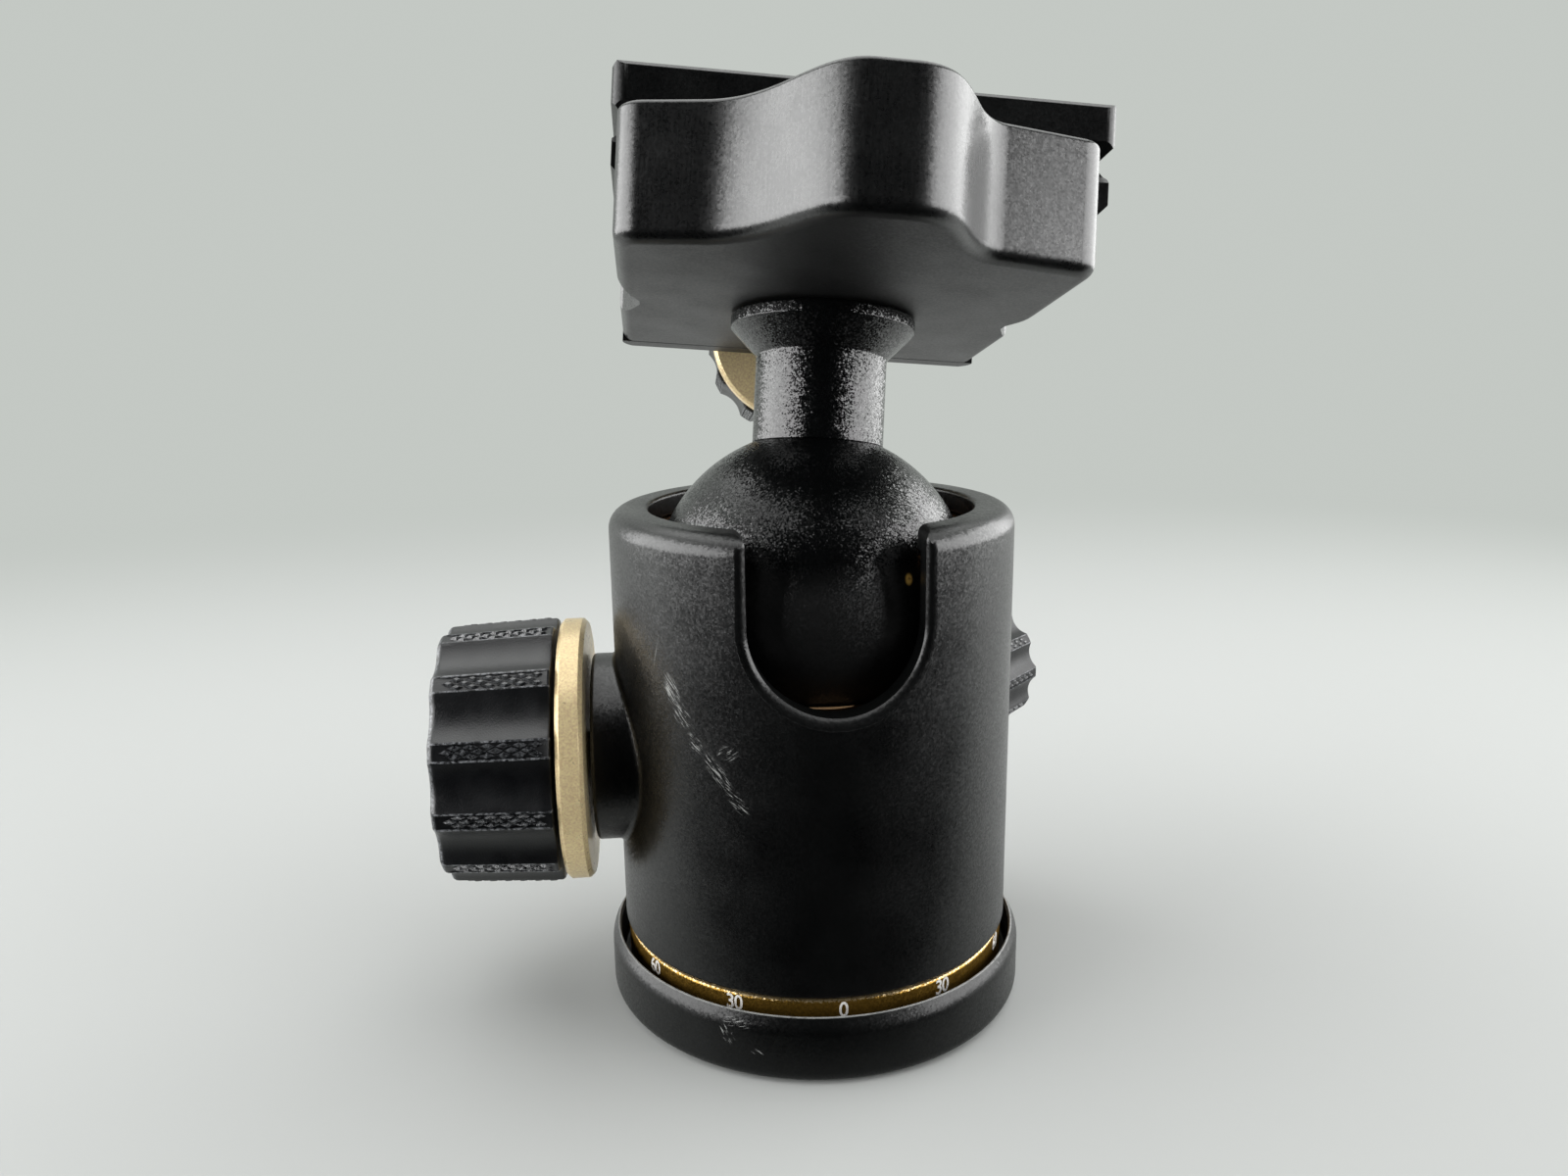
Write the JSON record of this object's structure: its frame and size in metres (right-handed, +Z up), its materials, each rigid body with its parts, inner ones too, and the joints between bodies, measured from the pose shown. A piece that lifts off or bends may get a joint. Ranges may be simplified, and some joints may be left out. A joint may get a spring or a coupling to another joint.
{
  "type": "ball head",
  "caption": "Tripod ball head with a drop notch, lobed lock knobs with gold rings, a panning base with a degree ring, and a screw clamp that holds a dovetail plate",
  "frame": {"origin": "centre of the tripod socket on the underside of the base cup", "axes": "+Z up along the panning axis, -Y toward the drop notch, -X toward the ball lock knob"},
  "size_m": [0.0752, 0.0775, 0.1018],
  "materials": {
    "black_anodised": "satin black anodised",
    "blasted_black": "sand-blasted and anodised black",
    "gold_anodised": "champagne gold anodised, satin",
    "dial_gold": "brown-gold with white numbers",
    "grip_rubber": "knurled black rubber",
    "steel": "bright",
    "brass": "satin",
    "seat_bronze": "dull bronze",
    "washer_white": "matte"
  },
  "bodies": {
    "base": {"base_cup": "black_anodised", "dial_ring": "dial_gold", "pan_hub": "steel", "socket_bush": "steel", "hub_screw_1": "steel", "hub_screw_2": "steel", "hub_screw_3": "steel"},
    "housing": {"housing_shell": "black_anodised", "hub_retaining_ring": "steel", "pan_washer": "washer_white", "upper_ball_seat": "seat_bronze"},
    "seat": {"lower_ball_seat": "seat_bronze"},
    "slider": {"lock_slider": "brass"},
    "lock_knob": {"lock_knob_spindle": "steel", "lock_knob_core": "black_anodised", "lock_knob_ring": "gold_anodised", "lock_knob_grip": "grip_rubber", "lock_knob_cap": "black_anodised"},
    "pan_shoe": {"pan_lock_shoe": "brass"},
    "pan_knob": {"pan_knob_spindle": "steel", "pan_knob_core": "black_anodised", "pan_knob_ring": "gold_anodised", "pan_knob_grip": "grip_rubber", "pan_knob_cap": "black_anodised"},
    "ball": {"ball": "blasted_black"},
    "stem": {"stem": "blasted_black"},
    "clamp": {"clamp_body": "black_anodised", "clamp_bolt": "steel", "jaw_spring_left": "steel", "jaw_spring_right": "steel"},
    "jaw": {"clamp_jaw": "black_anodised", "jaw_pin_left": "steel", "jaw_pin_right": "steel"},
    "clamp_knob": {"clamp_knob_spindle": "steel", "clamp_knob_core": "black_anodised", "clamp_knob_ring": "gold_anodised", "clamp_knob_grip": "grip_rubber", "clamp_knob_cap": "black_anodised"},
    "plate": {"plate": "black_anodised", "plate_strip_left": "grip_rubber", "plate_strip_right": "grip_rubber", "stop_screw_left": "steel", "stop_screw_right": "steel"},
    "camera_screw": {"camera_screw": "steel"}
  },
  "joints": [
    {"name": "pan", "type": "hinge", "parent": "base", "child": "housing", "pos_m": [0, 0, 0.0203], "axis": [0, 0, 1], "continuous": true},
    {"name": "slider_slide", "type": "slide", "parent": "housing", "child": "slider", "axis": [-1, 0, 0], "range_m": [0, 0.00125]},
    {"name": "lock_knob_turn", "type": "hinge", "parent": "slider", "child": "lock_knob", "pos_m": [-0.03, 0, 0.0294], "axis": [-1, 0, 0], "range_deg": [0, 360]},
    {"name": "seat_slide", "type": "slide", "parent": "housing", "child": "seat", "axis": [0, 0, 1], "range_m": [-0.00051, 0]},
    {"name": "pan_shoe_slide", "type": "slide", "parent": "housing", "child": "pan_shoe", "axis": [0.7071, 0.7071, 0], "range_m": [0, 0.001]},
    {"name": "pan_knob_turn", "type": "hinge", "parent": "pan_shoe", "child": "pan_knob", "pos_m": [0.02121, 0.02121, 0.0294], "axis": [0.7071, 0.7071, 0], "range_deg": [0, 360]},
    {"name": "ball_side", "type": "hinge", "parent": "housing", "child": "ball", "pos_m": [0, 0, 0.047], "axis": [0, 1, 0], "range_deg": [-32.6, 23.4]},
    {"name": "stem_front", "type": "hinge", "parent": "ball", "child": "stem", "pos_m": [0, 0, 0.047], "axis": [0.9968, 0, -0.0802], "range_deg": [-15.5, 99.5]},
    {"name": "clamp_spin", "type": "hinge", "parent": "stem", "child": "clamp", "pos_m": [0.00235, 0.00649, 0.07619], "axis": [0.0783, 0.2164, 0.9732], "continuous": true},
    {"name": "jaw_slide", "type": "slide", "parent": "clamp", "child": "jaw", "axis": [-0.0174, 0.9763, -0.2157], "range_m": [0, 0.0032]},
    {"name": "clamp_knob_turn", "type": "hinge", "parent": "jaw", "child": "clamp_knob", "pos_m": [0.00218, 0.0347, 0.07408], "axis": [-0.0174, 0.9763, -0.2157], "range_deg": [0, 1440]},
    {"name": "plate_slide", "type": "slide", "parent": "clamp", "child": "plate", "axis": [0.9968, 0, -0.0802], "range_m": [-0.006, 0.0035]},
    {"name": "camera_screw_turn", "type": "hinge", "parent": "plate", "child": "camera_screw", "pos_m": [0.00487, 0.00974, 0.09068], "axis": [0.0783, 0.2164, 0.9732], "continuous": true}
  ],
  "couplings": [
    {"joint": "lock_knob_turn", "follows": "slider_slide", "rad_per_m": 5026.5},
    {"joint": "seat_slide", "follows": "slider_slide", "ratio": -0.4},
    {"joint": "pan_knob_turn", "follows": "pan_shoe_slide", "rad_per_m": 6283.1},
    {"joint": "clamp_knob_turn", "follows": "jaw_slide", "rad_per_m": 7853.9}
  ]
}
